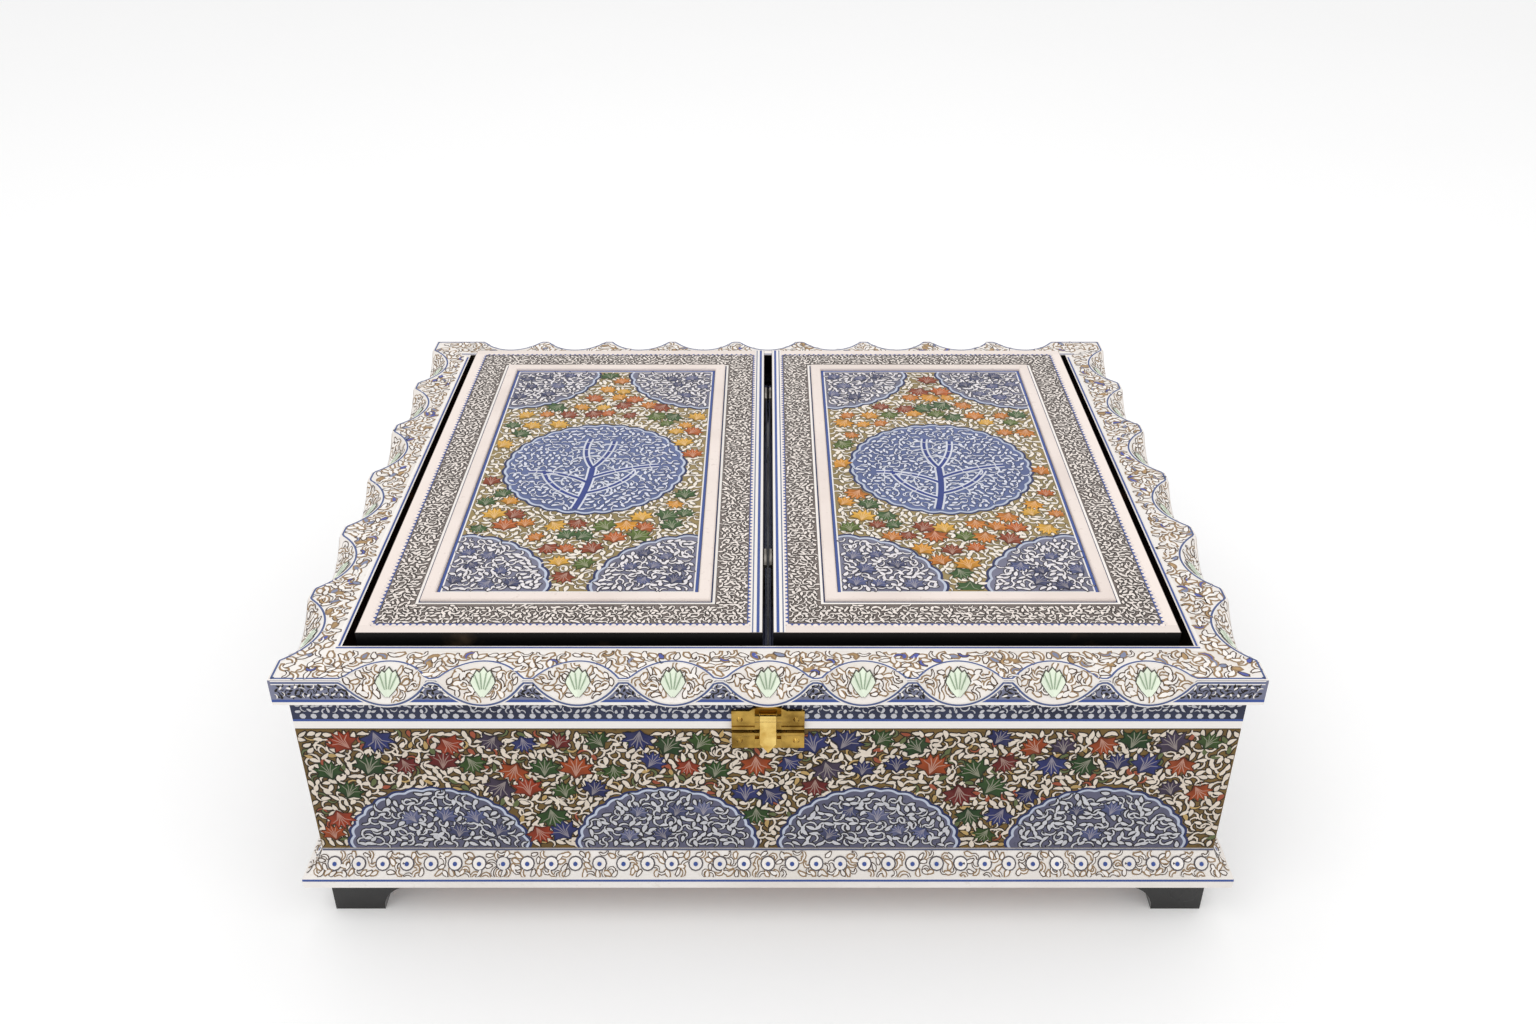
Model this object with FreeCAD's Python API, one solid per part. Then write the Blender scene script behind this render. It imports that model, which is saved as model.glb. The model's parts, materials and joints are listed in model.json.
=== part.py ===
"""Lacquered book box with a folding reading stand in its lid.

A plinth on bracket feet carries a low box.  A deck with two trays closes the box and swings up on
hinges at the back, held by a hasp at the front.  Two leaves lie side by side in a scalloped frame on
the deck.  Each leaf turns on a rod whose ends slide in slotted bearers, so it can be drawn aside and
tilted, and a book then stands between the leaves with its back on the spine strips.

Millimetres, +Z up, +Y to the back, origin on the ground under the middle of the box.
"""
import FreeCAD, Part
import math
import os

V = FreeCAD.Vector

# Overall box
BOX_WIDTH = 351.6
BOX_DEPTH = 287.6
FOOT_HEIGHT = 20.0
WALL_TOP = 94.7
WALL_THICK = 7.0
FLOOR_RAISE = 10.0
FLOOR_THICK = 6.0
SEAM = 0.3

# Plinth and feet
PLINTH_REACH = 7.6
PLINTH_EDGE = 4.5
PLINTH_RISE = 14.0
PLINTH_HOLLOW = 1.4
FOOT_TOE = 20.0
FOOT_SPAN = 36.0
FOOT_LIP = 3.0
FOOT_HOLLOW = 2.6
FOOT_SWELL = 1.2
FOOT_THICK = 12.0

# Deck and trays
BAND_HEIGHT = 14.5
BAND_THICK = 10.0
LINING = 4.6
TRAY_DEPTH = 25.0
TRAY_FLOOR = 4.0
CHANNEL_WIDTH = 74.0
PARTITION_SHIFT = 2.0

# Spine of the stand
STRIP_WIDTH = 30.6
STRIP_THICK = 3.0
STRIP_GAP = 0.8
STRIP_DROP = 6.0
BED_THICK = 8.0
BEARER_THICK = 5.0
BEARER_BACKING = 1.5

# Scalloped frame
FRAME_REACH = 4.2
FRAME_THICK = 11.3
RAIL_FRONT = 20.5
RAIL_SIDE = 21.5
RAIL_BACK = 17.5
SCALLOP_CUT = 7.4
FRONT_SCALLOPS = 9
FRONT_PITCH = 34.6
FRONT_SCALLOP_WIDTH = 31.0
SIDE_SCALLOPS = 6
SIDE_PITCH = 46.6
SIDE_SCALLOP_WIDTH = 40.0

# Leaves
LEAF_THICK = 15.0
LEAF_LIFT = 0.2
LEAF_GAP_END = 3.0
LEAF_GAP_SIDE = 4.6
LEAF_GAP_MIDDLE = 4.0
LEAF_EDGE_ROUND = 5.0
MOULDING_INSET = 20.0
MOULDING_WIDTH = 5.0
MOULDING_HEIGHT = 1.6
MOULDING_ROUND = 1.0

# Pivot rods and eyes
ROD_RADIUS = 1.0
RUN_CLEAR = 0.05
SLOT_CLEAR = 0.08
EYE_RADIUS = 1.8
EYE_CLEAR = 0.4
EYE_LENGTH = 12.0
EYE_PLATE = 0.8
EYE_BEAD = 0.8
EYE_BEAD_DROP = 1.2
EYE_FRONT = -72.0
EYE_BACK = 78.0
LEAF_TRAVEL = 30.0

# Hinges at the back
HINGE_LENGTH = 36.0
HINGE_CLEAR = 0.35
PIN_RADIUS = 0.9
DECK_HINGE_X = 112.0
DECK_KNUCKLE = 2.2
DECK_PLATE = 1.2
DECK_PLATE_RISE = 12.0
FRAME_HINGE_X = 55.0
FRAME_KNUCKLE = 1.6
FRAME_PLATE = 1.0
FRAME_PLATE_RISE = 8.0

# Hasp
HASP_WIDTH = 27.0
HASP_PLATE = 1.2
HASP_PLATE_HEIGHT = 8.6
HASP_SEAM_GAP = 0.5
HASP_ARCH_WIDTH = 14.0
HASP_ARCH_RISE = 2.2
HASP_ROLL = 0.8
KEEPER_HEIGHT = 7.6
TONGUE_WIDTH = 6.0
TONGUE_THICK = 1.4
TONGUE_LENGTH = 16.2
TONGUE_TIP = 4.2
TONGUE_KNUCKLE = 1.6
TONGUE_PIVOT_DROP = 1.6
TONGUE_CLEAR = 0.3
EAR_THICK = 1.6
EAR_HEIGHT = 3.0
NAIL_RADIUS = 1.2
NAIL_HEIGHT = 0.7
NAIL_INSET = 3.0
NAIL_CROWN = 0.6

# Levels and half sizes that follow from the sizes above
HALF_X = BOX_WIDTH / 2
HALF_Y = BOX_DEPTH / 2
DECK_BOTTOM = WALL_TOP + SEAM
DECK_TOP = DECK_BOTTOM + BAND_HEIGHT
TRAY_TOP_OF_FLOOR = DECK_TOP - TRAY_DEPTH
TRAY_X = HALF_X - BAND_THICK
TRAY_Y = HALF_Y - BAND_THICK
CHANNEL_X = CHANNEL_WIDTH / 2
STRIP_TOP = DECK_TOP - STRIP_DROP
BED_TOP = STRIP_TOP - STRIP_THICK
FRAME_X = HALF_X + FRAME_REACH
FRAME_Y = HALF_Y + FRAME_REACH
FRAME_TOP = DECK_TOP + FRAME_THICK
WINDOW_X = FRAME_X - RAIL_SIDE
WINDOW_FRONT = -FRAME_Y + RAIL_FRONT
WINDOW_BACK = FRAME_Y - RAIL_BACK
LEAF_BOTTOM = DECK_TOP + LEAF_LIFT
LEAF_TOP = LEAF_BOTTOM + LEAF_THICK
LEAF_INNER = LEAF_GAP_MIDDLE / 2
LEAF_OUTER = WINDOW_X - LEAF_GAP_SIDE
LEAF_FRONT = WINDOW_FRONT + LEAF_GAP_END
LEAF_BACK = WINDOW_BACK - LEAF_GAP_END
ROD_X = LEAF_INNER - EYE_PLATE + EYE_RADIUS
ROD_Z = STRIP_TOP + EYE_RADIUS + EYE_CLEAR
BEARER_INNER = TRAY_Y - BEARER_THICK


def box(x0, x1, y0, y1, z0, z1):
    """A board between two corners."""
    return Part.makeBox(x1 - x0, y1 - y0, z1 - z0, V(x0, y0, z0))


def prism(points, direction):
    """A flat outline swept along a direction."""
    return Part.Face(Part.makePolygon(points + points[:1])).extrude(direction)


def rod(radius, start, end):
    """A round bar between two points."""
    axis = end - start
    return Part.makeCylinder(radius, axis.Length, start, axis)


def mirror_x(shape):
    """The same piece on the other side of the box."""
    return shape.mirror(V(0, 0, 0), V(1, 0, 0))


def save(name, shape):
    """One sub-part, written to its own file."""
    solid = shape.removeSplitter()
    solid.exportStep("parts/" + name + ".step")
    print(name, len(solid.Solids), "solid(s)", round(solid.Volume), "mm3")


def save_pair(name, left_shape):
    """A left piece and its mirror image on the right."""
    save("left_" + name, left_shape)
    save("right_" + name, mirror_x(left_shape))


def mitred_sides(outer_x, outer_y, inner_x, inner_front, inner_back, z0, z1):
    """Four blocks that meet on their mitres round a rectangle."""
    outer = [V(-outer_x, -outer_y, z0), V(outer_x, -outer_y, z0),
             V(outer_x, outer_y, z0), V(-outer_x, outer_y, z0)]
    inner = [V(-inner_x, inner_front, z0), V(inner_x, inner_front, z0), V(inner_x, inner_back, z0),
             V(-inner_x, inner_back, z0)]
    blocks = []
    for side in range(4):
        after = (side + 1) % 4
        outline = [outer[side], outer[after], inner[after], inner[side]]
        blocks.append(prism(outline, V(0, 0, z1 - z0)))
    return dict(zip(("front", "right", "back", "left"), blocks))


def make_walls():
    """The four boards of the box and its bottom."""
    z0, z1 = FOOT_HEIGHT, WALL_TOP
    inner_x, inner_y = HALF_X - WALL_THICK, HALF_Y - WALL_THICK
    save("base_front_wall", box(-HALF_X, HALF_X, -HALF_Y, -inner_y, z0, z1))
    save("base_back_wall", box(-HALF_X, HALF_X, inner_y, HALF_Y, z0, z1))
    save("base_left_wall", box(-HALF_X, -inner_x, -inner_y, inner_y, z0, z1))
    save("base_right_wall", box(inner_x, HALF_X, -inner_y, inner_y, z0, z1))
    floor_z = z0 + FLOOR_RAISE
    save("base_floor", box(-inner_x, inner_x, -inner_y, inner_y, floor_z, floor_z + FLOOR_THICK))


def make_plinth():
    """A coved moulding round the foot of the walls, mitred at the corners."""
    z0 = FOOT_HEIGHT
    edge_z, top_z = z0 + PLINTH_EDGE, z0 + PLINTH_RISE
    chord = V(0, -PLINTH_REACH, top_z - edge_z)
    inward = V(0, -chord.z, chord.y).normalize()
    cove = V(0, PLINTH_REACH / 2, (edge_z + top_z) / 2) + inward * PLINTH_HOLLOW
    outer_x, outer_y = HALF_X + PLINTH_REACH, HALF_Y + PLINTH_REACH
    blocks = mitred_sides(outer_x, outer_y, HALF_X, -HALF_Y, HALF_Y, z0, top_z)
    turns = {"front": (180, HALF_Y), "right": (-90, HALF_X), "back": (0, HALF_Y), "left": (90, HALF_X)}
    reach = outer_x + outer_y
    for side, (turn, face) in turns.items():
        foot, toe = V(0, 0, z0), V(0, PLINTH_REACH, z0)
        lip, crown = V(0, PLINTH_REACH, edge_z), V(0, 0, top_z)
        edges = [Part.makeLine(foot, toe), Part.makeLine(toe, lip), Part.Arc(lip, cove, crown).toShape(),
                 Part.makeLine(crown, foot)]
        bar = Part.Face(Part.Wire(edges)).extrude(V(2 * reach, 0, 0))
        bar.translate(V(-reach, face, 0))
        bar.rotate(V(0, 0, 0), V(0, 0, 1), turn)
        save("plinth_" + side, bar.common(blocks[side]))


def make_feet():
    """Bracket feet: two cyma-cut legs that meet at each corner."""
    lip_z = FOOT_HEIGHT - FOOT_LIP
    neck_x = FOOT_TOE + (FOOT_SPAN - FOOT_TOE) * 0.55
    neck_z = lip_z * 0.72
    corners = [V(0, 0, 0), V(FOOT_TOE, 0, 0), V(neck_x, 0, neck_z),
               V(FOOT_SPAN, 0, lip_z), V(FOOT_SPAN, 0, FOOT_HEIGHT),
               V(0, 0, FOOT_HEIGHT)]
    hollow = (corners[1] + corners[2]) / 2 + V(-neck_z, 0, neck_x - FOOT_TOE).normalize() * FOOT_HOLLOW
    bulge = V(lip_z - neck_z, 0, neck_x - FOOT_SPAN).normalize() * FOOT_SWELL
    swell = (corners[2] + corners[3]) / 2 + bulge
    edges = [Part.makeLine(corners[0], corners[1]), Part.Arc(corners[1], hollow, corners[2]).toShape(),
             Part.Arc(corners[2], swell, corners[3]).toShape()]
    edges += [Part.makeLine(corners[i], corners[(i + 1) % 6]) for i in (3, 4, 5)]
    leg = Part.Face(Part.Wire(edges)).extrude(V(0, FOOT_THICK, 0))
    side_leg = leg.copy().mirror(V(0, 0, 0), V(1, -1, 0))
    foot = leg.fuse(side_leg).removeSplitter()
    foot.translate(V(-HALF_X, -HALF_Y, 0))
    back_foot = foot.mirror(V(0, 0, 0), V(0, 1, 0))
    save("foot_front_left", foot)
    save("foot_front_right", mirror_x(foot))
    save("foot_back_left", back_foot)
    save("foot_back_right", mirror_x(back_foot))


def make_deck():
    """The band that closes the box, and the two lined trays that hang in it."""
    z0, z1 = DECK_BOTTOM, DECK_TOP
    save("band_front", box(-HALF_X, HALF_X, -HALF_Y, -TRAY_Y, z0, z1))
    save("band_back", box(-HALF_X, HALF_X, TRAY_Y, HALF_Y, z0, z1))
    save_pair("band_end", box(-HALF_X, -TRAY_X, -TRAY_Y, TRAY_Y, z0, z1))
    floor_z = TRAY_TOP_OF_FLOOR
    inner_y = TRAY_Y - LINING
    outer_face, inner_face = -TRAY_X + LINING, -CHANNEL_X - LINING
    save_pair("tray_floor", box(-TRAY_X, -CHANNEL_X, -TRAY_Y, TRAY_Y, floor_z - TRAY_FLOOR, floor_z))
    save_pair("tray_outer", box(-TRAY_X, outer_face, -TRAY_Y, TRAY_Y, floor_z, z1))
    save_pair("tray_inner", box(inner_face, -CHANNEL_X, -TRAY_Y, TRAY_Y, floor_z, z1))
    save_pair("tray_front", box(outer_face, inner_face, -TRAY_Y, -inner_y, floor_z, z1))
    save_pair("tray_back", box(outer_face, inner_face, inner_y, TRAY_Y, floor_z, z1))
    half = LINING / 2
    near, far = PARTITION_SHIFT - half, PARTITION_SHIFT + half
    save_pair("tray_partition", box(outer_face, inner_face, near, far, floor_z, z1))


def make_spine():
    """The bed between the trays, its two strips, and the slotted bearers at its ends."""
    save("spine_bed", box(-CHANNEL_X, CHANNEL_X, -TRAY_Y, TRAY_Y, BED_TOP - BED_THICK, BED_TOP))
    inner = STRIP_GAP / 2
    strip = box(-inner - STRIP_WIDTH, -inner, -BEARER_INNER, BEARER_INNER, BED_TOP, STRIP_TOP)
    save_pair("spine_strip", strip)
    slot_half = ROD_RADIUS + SLOT_CLEAR
    slot_x = ROD_X + LEAF_TRAVEL + slot_half
    bearer = box(-CHANNEL_X, CHANNEL_X, -TRAY_Y, -BEARER_INNER, BED_TOP, DECK_TOP)
    slot_back = -TRAY_Y + BEARER_BACKING
    slot = box(-slot_x, slot_x, slot_back, -BEARER_INNER, ROD_Z - slot_half, ROD_Z + slot_half)
    bearer = bearer.cut(slot)
    save("spine_bearer_front", bearer)
    save("spine_bearer_back", bearer.mirror(V(0, 0, 0), V(0, 1, 0)))


def scallop(width, depth, reach):
    """A gouge that takes one hollow out of the arris along X at the origin."""
    half = width / 2
    chord = [V(-half, 0, 0), V(0, 0, -depth), V(half, 0, 0)]
    roof = [V(half, 0, depth), V(-half, 0, depth)]
    edges = [Part.Arc(*chord).toShape(), Part.makeLine(chord[2], roof[0]), Part.makeLine(*roof),
             Part.makeLine(roof[1], chord[0])]
    tool = Part.Face(Part.Wire(edges)).extrude(V(0, 2 * reach, 0))
    tool.translate(V(0, -reach, 0))
    tool.rotate(V(0, 0, 0), V(1, 0, 0), 45)
    return tool


def scallop_row(count, pitch, width, turn, face):
    """Hollows spaced along the arris of one rail."""
    row = []
    for index in range(count):
        tool = scallop(width, SCALLOP_CUT, RAIL_SIDE)
        tool.translate(V((index - (count - 1) / 2) * pitch, -face, FRAME_TOP))
        tool.rotate(V(0, 0, 0), V(0, 0, 1), turn)
        row.append(tool)
    return row


def make_frame():
    """Four mitred rails with a scalloped outer arris."""
    rails = mitred_sides(FRAME_X, FRAME_Y, WINDOW_X, WINDOW_FRONT, WINDOW_BACK, DECK_TOP, FRAME_TOP)
    front = (FRONT_SCALLOPS, FRONT_PITCH, FRONT_SCALLOP_WIDTH)
    side = (SIDE_SCALLOPS, SIDE_PITCH, SIDE_SCALLOP_WIDTH)
    rows = {"front": front + (0, FRAME_Y), "right": side + (90, FRAME_X), "back": front + (180, FRAME_Y),
            "left": side + (-90, FRAME_X)}
    for name, row in rows.items():
        save("frame_" + name + "_rail", rails[name].cut(scallop_row(*row)))


def make_leaves():
    """The two boards of the stand, with a raised moulding round each field."""
    board = box(-LEAF_OUTER, -LEAF_INNER, LEAF_FRONT, LEAF_BACK, LEAF_BOTTOM, LEAF_TOP)
    lower_outer = []
    for edge in board.Edges:
        middle = edge.CenterOfMass
        if abs(middle.x + LEAF_OUTER) < 1e-6 and abs(middle.z - LEAF_BOTTOM) < 1e-6:
            lower_outer.append(edge)
    save_pair("leaf", board.makeFillet(min(LEAF_EDGE_ROUND, LEAF_THICK / 2), lower_outer))
    x0, x1 = -LEAF_OUTER + MOULDING_INSET, -LEAF_INNER - MOULDING_INSET
    y0, y1 = LEAF_FRONT + MOULDING_INSET, LEAF_BACK - MOULDING_INSET
    z0, z1 = LEAF_TOP, LEAF_TOP + MOULDING_HEIGHT
    ring = box(x0, x1, y0, y1, z0, z1)
    well = box(x0 + MOULDING_WIDTH, x1 - MOULDING_WIDTH, y0 + MOULDING_WIDTH, y1 - MOULDING_WIDTH, z0, z1)
    ring = ring.cut(well)
    upper = [edge for edge in ring.Edges if all(abs(v.Z - z1) < 1e-6 for v in edge.Vertexes)]
    rounding = min(MOULDING_ROUND, MOULDING_HEIGHT * 0.9, MOULDING_WIDTH * 0.45)
    save_pair("leaf_moulding", ring.makeFillet(rounding, upper))


def make_pivots():
    """A rod under the inner edge of each leaf, and the two eyes that hang the leaf on it."""
    end_y = BEARER_INNER + (BEARER_THICK - BEARER_BACKING) * 0.8
    save_pair("pivot_rod", rod(ROD_RADIUS, V(-ROD_X, -end_y, ROD_Z), V(-ROD_X, end_y, ROD_Z)))
    eyes = []
    for y in (EYE_FRONT, EYE_BACK):
        start, end = V(-ROD_X, y - EYE_LENGTH / 2, ROD_Z), V(-ROD_X, y + EYE_LENGTH / 2, ROD_Z)
        plate = box(-LEAF_INNER, -LEAF_INNER + EYE_PLATE, start.y, end.y, ROD_Z, LEAF_TOP - EYE_BEAD_DROP)
        neck = box(-ROD_X, -LEAF_INNER + EYE_PLATE, start.y, end.y, ROD_Z, LEAF_BOTTOM)
        bead_x, bead_z = -LEAF_INNER + EYE_BEAD, LEAF_TOP - EYE_BEAD_DROP
        bead = rod(EYE_BEAD, V(bead_x, start.y, bead_z), V(bead_x, end.y, bead_z))
        eye = rod(EYE_RADIUS, start, end).fuse([plate, neck, bead])
        eyes.append(eye.cut(rod(ROD_RADIUS + RUN_CLEAR, start, end)))
    save_pair("leaf_eyes", Part.makeCompound(eyes))


def knuckles(radius, x, y, z, middle):
    """The middle third of a hinge barrel, or its two outer thirds."""
    third = HINGE_LENGTH / 3
    gap = HINGE_CLEAR / 2
    spans = [(-third / 2 + gap, third / 2 - gap)] if middle else [(-1.5 * third, -third / 2 - gap),
                                                                 (third / 2 + gap, 1.5 * third)]
    return [rod(radius, V(x + a, y, z), V(x + b, y, z)) for a, b in spans]


def hinge_half(radius, x, y, z, middle, plate):
    """Barrel knuckles on their plate, bored for the pin and clear of the other half."""
    own = knuckles(radius, x, y, z, middle)
    rest = knuckles(radius + HINGE_CLEAR, x, y, z, not middle)
    half = own[0].fuse(own[1:] + [plate.cut(rest)])
    half_length = HINGE_LENGTH / 2
    return half.cut(rod(PIN_RADIUS + RUN_CLEAR, V(x - half_length, y, z), V(x + half_length, y, z)))


def hinge_pin(x, y, z):
    """The pin of one hinge."""
    return rod(PIN_RADIUS, V(x - HINGE_LENGTH / 2, y, z), V(x + HINGE_LENGTH / 2, y, z))


def make_deck_hinges():
    """Butt hinges between the box and the deck, on the back."""
    y, z = HALF_Y + DECK_KNUCKLE + HINGE_CLEAR, DECK_BOTTOM - SEAM / 2
    plate_y = (HALF_Y, HALF_Y + DECK_PLATE)
    lower, upper, pins = [], [], []
    for x in (-DECK_HINGE_X, DECK_HINGE_X):
        span = (x - HINGE_LENGTH / 2, x + HINGE_LENGTH / 2)
        lower_plate = box(*span, *plate_y, z - DECK_PLATE_RISE, z - HINGE_CLEAR)
        upper_plate = box(*span, *plate_y, z + HINGE_CLEAR, z + DECK_PLATE_RISE)
        lower.append(hinge_half(DECK_KNUCKLE, x, y, z, False, lower_plate))
        upper.append(hinge_half(DECK_KNUCKLE, x, y, z, True, upper_plate))
        pins.append(hinge_pin(x, y, z))
    save("deck_hinge_lower", Part.makeCompound(lower))
    save("deck_hinge_upper", Part.makeCompound(upper))
    save("deck_hinge_pins", Part.makeCompound(pins))
    print("deck hinge axis", round(y, 3), round(z, 3))


def make_frame_hinges():
    """Small hinges under the overhang of the frame, on the back of the deck."""
    y, z = HALF_Y + FRAME_KNUCKLE + HINGE_CLEAR, DECK_TOP - FRAME_KNUCKLE - HINGE_CLEAR
    lower, upper, pins = [], [], []
    for x in (-FRAME_HINGE_X, FRAME_HINGE_X):
        span = (x - HINGE_LENGTH / 2, x + HINGE_LENGTH / 2)
        lower_plate = box(*span, HALF_Y, HALF_Y + FRAME_PLATE, z - FRAME_PLATE_RISE, z)
        upper_plate = box(*span, HALF_Y + HINGE_CLEAR, FRAME_Y, DECK_TOP - FRAME_PLATE, DECK_TOP)
        lower.append(hinge_half(FRAME_KNUCKLE, x, y, z, False, lower_plate))
        upper.append(hinge_half(FRAME_KNUCKLE, x, y, z, True, upper_plate))
        pins.append(hinge_pin(x, y, z))
    save("frame_hinge_lower", Part.makeCompound(lower))
    save("frame_hinge_upper", Part.makeCompound(upper))
    save("frame_hinge_pins", Part.makeCompound(pins))
    print("frame hinge axis", round(y, 3), round(z, 3))


def nails(z, face):
    """Two raised nail heads, one at each end of a plate."""
    reach = HASP_WIDTH / 2 - NAIL_INSET
    out = V(0, -1, 0)
    heads = []
    for x in (-reach, reach):
        heads.append(Part.makeCone(NAIL_RADIUS, NAIL_CROWN, NAIL_HEIGHT, V(x, face, z), out))
    return Part.makeCompound(heads)


def roll(x0, x1, front, z):
    """A half-round rolled edge on the front of a plate."""
    bar = rod(HASP_ROLL, V(x0, front, z), V(x1, front, z))
    return bar.common(box(x0, x1, front - HASP_ROLL, front, z - HASP_ROLL, z + HASP_ROLL))


def arch_plate(half, front, face, z0, z1):
    """A plate whose middle rises in an arch above its shoulders."""
    arch = HASP_ARCH_WIDTH / 2
    left, crown, right = V(-arch, front, z1), V(0, front, z1 + HASP_ARCH_RISE), V(arch, front, z1)
    cap = Part.Face(Part.Wire([Part.Arc(left, crown, right).toShape(), Part.makeLine(right, left)]))
    return box(-half, half, front, face, z0, z1).fuse(cap.extrude(V(0, face - front, 0)))


def make_hasp():
    """A plate with a hanging tongue on the deck, and a keeper with two guide ears on the box."""
    face = -HALF_Y
    front = face - HASP_PLATE
    half = HASP_WIDTH / 2
    plate_z = DECK_BOTTOM + HASP_SEAM_GAP
    plate_top = plate_z + HASP_PLATE_HEIGHT
    keeper_z = WALL_TOP - HASP_SEAM_GAP
    pivot_z = plate_top - TONGUE_PIVOT_DROP
    pivot_y = front - TONGUE_KNUCKLE - TONGUE_CLEAR
    tongue_half = TONGUE_WIDTH / 2
    lug_in = tongue_half + TONGUE_CLEAR
    lug_out = lug_in + EAR_THICK

    plate = arch_plate(half, front, face, plate_z, plate_top)
    extras = []
    for x0, x1 in ((-lug_out, -lug_in), (lug_in, lug_out)):
        extras.append(rod(TONGUE_KNUCKLE, V(x0, pivot_y, pivot_z), V(x1, pivot_y, pivot_z)))
        extras.append(box(x0, x1, pivot_y, front, pivot_z - TONGUE_KNUCKLE, pivot_z + TONGUE_KNUCKLE))
    for x0, x1 in ((-half, -lug_out), (lug_out, half)):
        extras.append(roll(x0, x1, front, plate_z + HASP_ROLL))
    bore = rod(PIN_RADIUS + RUN_CLEAR, V(-lug_out, pivot_y, pivot_z), V(lug_out, pivot_y, pivot_z))
    save("hasp_plate", plate.fuse(extras).cut(bore))
    save("hasp_pin", rod(PIN_RADIUS, V(-lug_out, pivot_y, pivot_z), V(lug_out, pivot_y, pivot_z)))

    low = pivot_z - TONGUE_LENGTH
    outline = [V(-tongue_half, 0, pivot_z), V(-tongue_half, 0, low + TONGUE_TIP), V(0, 0, low),
               V(tongue_half, 0, low + TONGUE_TIP), V(tongue_half, 0, pivot_z)]
    blade = prism(outline, V(0, TONGUE_THICK, 0))
    blade.translate(V(0, pivot_y - TONGUE_THICK / 2, 0))
    barrel = rod(TONGUE_KNUCKLE, V(-tongue_half, pivot_y, pivot_z), V(tongue_half, pivot_y, pivot_z))
    save("hasp_tongue", barrel.fuse(blade).cut(bore))

    keeper = box(-half, half, front, face, keeper_z - KEEPER_HEIGHT, keeper_z)
    ear_z = keeper_z - (KEEPER_HEIGHT - EAR_HEIGHT) / 2
    ear_y = pivot_y + TONGUE_THICK / 2
    ears = [box(-lug_out, -lug_in, ear_y, front, ear_z - EAR_HEIGHT, ear_z),
            box(lug_in, lug_out, ear_y, front, ear_z - EAR_HEIGHT, ear_z)]
    roll_z = keeper_z - HASP_ROLL
    rolls = [roll(-half, -lug_in, front, roll_z), roll(lug_in, half, front, roll_z)]
    save("hasp_keeper", keeper.fuse(ears + rolls))
    save("hasp_plate_nails", nails(plate_z + HASP_PLATE_HEIGHT * 0.55, front))
    save("hasp_keeper_nails", nails(keeper_z - KEEPER_HEIGHT * 0.55, front))
    print("hasp axis", round(pivot_y, 3), round(pivot_z, 3))


os.makedirs("parts", exist_ok=True)
make_walls()
make_plinth()
make_feet()
make_deck()
make_spine()
make_frame()
make_leaves()
make_pivots()
make_deck_hinges()
make_frame_hinges()
make_hasp()
print("leaf axis", round(ROD_X, 3), round(ROD_Z, 3))
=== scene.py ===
import json
import math
import random
import bpy
import bmesh
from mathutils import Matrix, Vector


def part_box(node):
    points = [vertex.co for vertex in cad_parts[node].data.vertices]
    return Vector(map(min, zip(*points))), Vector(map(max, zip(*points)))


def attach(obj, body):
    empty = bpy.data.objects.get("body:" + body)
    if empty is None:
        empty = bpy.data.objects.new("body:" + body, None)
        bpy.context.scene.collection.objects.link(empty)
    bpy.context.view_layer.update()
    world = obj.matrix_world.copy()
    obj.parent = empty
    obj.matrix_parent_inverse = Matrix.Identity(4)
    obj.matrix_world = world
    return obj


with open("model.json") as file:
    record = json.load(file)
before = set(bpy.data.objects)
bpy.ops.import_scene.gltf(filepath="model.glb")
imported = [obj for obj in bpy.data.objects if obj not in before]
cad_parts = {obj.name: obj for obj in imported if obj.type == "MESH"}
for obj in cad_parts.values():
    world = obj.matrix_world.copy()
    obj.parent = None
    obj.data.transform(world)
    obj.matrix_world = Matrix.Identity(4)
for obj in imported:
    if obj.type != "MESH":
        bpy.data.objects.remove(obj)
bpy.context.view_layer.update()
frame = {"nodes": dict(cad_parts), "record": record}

# %% [markdown]
# # A painted book box
# The real box is wood and paper pulp under thick white, olive and blue paint, with brass and steel
# fittings. Its solids come from the CAD model and keep their shape. This lesson gives them their
# finishes, and lays the painter's brush work on them as thin raised polygons, because paint on such
# boxes stands a little proud.

# %% Sizes read back from the CAD pieces
MM = 0.001
SEED = 7
rng = random.Random(SEED)
nodes = frame["nodes"]


def box_mm(node):
    """The box of a CAD piece as two corners in millimetres."""
    return [tuple(c / MM for c in corner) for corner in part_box(node)]


WALL_LOW, WALL_HIGH = box_mm("base_front_wall")
BAND_LOW, BAND_HIGH = box_mm("band_front")
RAIL_LOW, RAIL_HIGH = box_mm("frame_front_rail")
PLINTH_LOW, PLINTH_HIGH = box_mm("plinth_front")
HALF_X, HALF_Y = WALL_HIGH[0], -WALL_LOW[1]
print("walls reach", round(HALF_X, 1), "and", round(HALF_Y, 1), "mm from the middle")

# %% [markdown]
# ## Node graphs
# Every finish on the box is a node material. Joining nodes by hand in code is long, so a small
# builder adds a node, feeds its sockets and hands back an output. All patterns read Object
# coordinates, so the paint stays on a leaf or a lid when it swings.

# %% A builder for node graphs
BUMP_HEIGHT = 0.0004
# Sockets of a Mix node that mixes colours.
MIX_FACTOR, MIX_A, MIX_B, MIX_RESULT = 0, 6, 7, 2


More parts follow.
